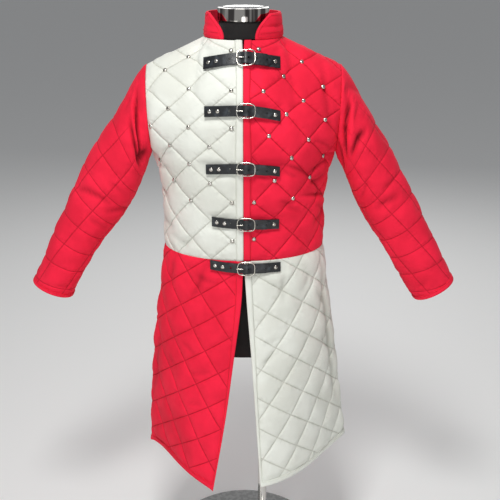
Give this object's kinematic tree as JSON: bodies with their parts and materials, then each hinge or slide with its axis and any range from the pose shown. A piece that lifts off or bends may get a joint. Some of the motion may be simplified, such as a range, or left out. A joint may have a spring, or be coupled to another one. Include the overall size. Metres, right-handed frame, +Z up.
{
  "type": "quilted gambeson on a dress form",
  "caption": "Padded quilted coat in two quartered colours with stand collar and strap-and-buckle front, standing on a limbless dress form.",
  "frame": {"origin": "middle of the stand's underside, on the floor", "axes": "+Z up, -Y out of the coat's front, +X towards the wearer's left"},
  "size_m": [1.1287, 0.4517, 1.55],
  "materials": {
    "red_cloth": "plain-woven red cotton, quilted over padding",
    "white_cloth": "plain-woven off-white cotton, quilted over padding",
    "black_leather": "smooth black strap leather, satin",
    "nickel": "bright nickel plate",
    "black_jersey": "black knitted cover, stretched smooth",
    "chrome": "polished"
  },
  "bodies": {
    "root": {"bodice_front_right": "white_cloth", "bodice_back_right": "white_cloth", "front_binding_right": "white_cloth", "bodice_front_left": "red_cloth", "bodice_back_left": "red_cloth", "front_binding_left": "red_cloth", "collar": "red_cloth", "sleeve_right": "red_cloth", "cuff_band_right": "red_cloth", "sleeve_left": "red_cloth", "cuff_band_left": "red_cloth", "skirt_front_right": "red_cloth", "skirt_binding_front_right": "red_cloth", "skirt_front_left": "white_cloth", "skirt_binding_front_left": "white_cloth", "skirt_back_right": "red_cloth", "skirt_binding_back_right": "red_cloth", "skirt_back_left": "white_cloth", "skirt_binding_back_left": "white_cloth", "strap_billet_1": "black_leather", "strap_base_1": "black_leather", "buckle_frame_1": "nickel", "buckle_prong_1": "nickel", "rivet_1a": "nickel", "rivet_1b": "nickel", "rivet_1c": "nickel", "strap_billet_2": "black_leather", "strap_base_2": "black_leather", "buckle_frame_2": "nickel", "buckle_prong_2": "nickel", "rivet_2a": "nickel", "rivet_2b": "nickel", "rivet_2c": "nickel", "strap_billet_3": "black_leather", "strap_base_3": "black_leather", "buckle_frame_3": "nickel", "buckle_prong_3": "nickel", "rivet_3a": "nickel", "rivet_3b": "nickel", "rivet_3c": "nickel", "strap_billet_4": "black_leather", "strap_base_4": "black_leather", "buckle_frame_4": "nickel", "buckle_prong_4": "nickel", "rivet_4a": "nickel", "rivet_4b": "nickel", "rivet_4c": "nickel", "strap_billet_5": "black_leather", "strap_base_5": "black_leather", "buckle_frame_5": "nickel", "buckle_prong_5": "nickel", "rivet_5a": "nickel", "rivet_5b": "nickel", "rivet_5c": "nickel", "form_torso": "black_jersey", "form_neck_cap": "chrome", "form_pole": "chrome", "form_base": "chrome"}
  },
  "joints": []
}
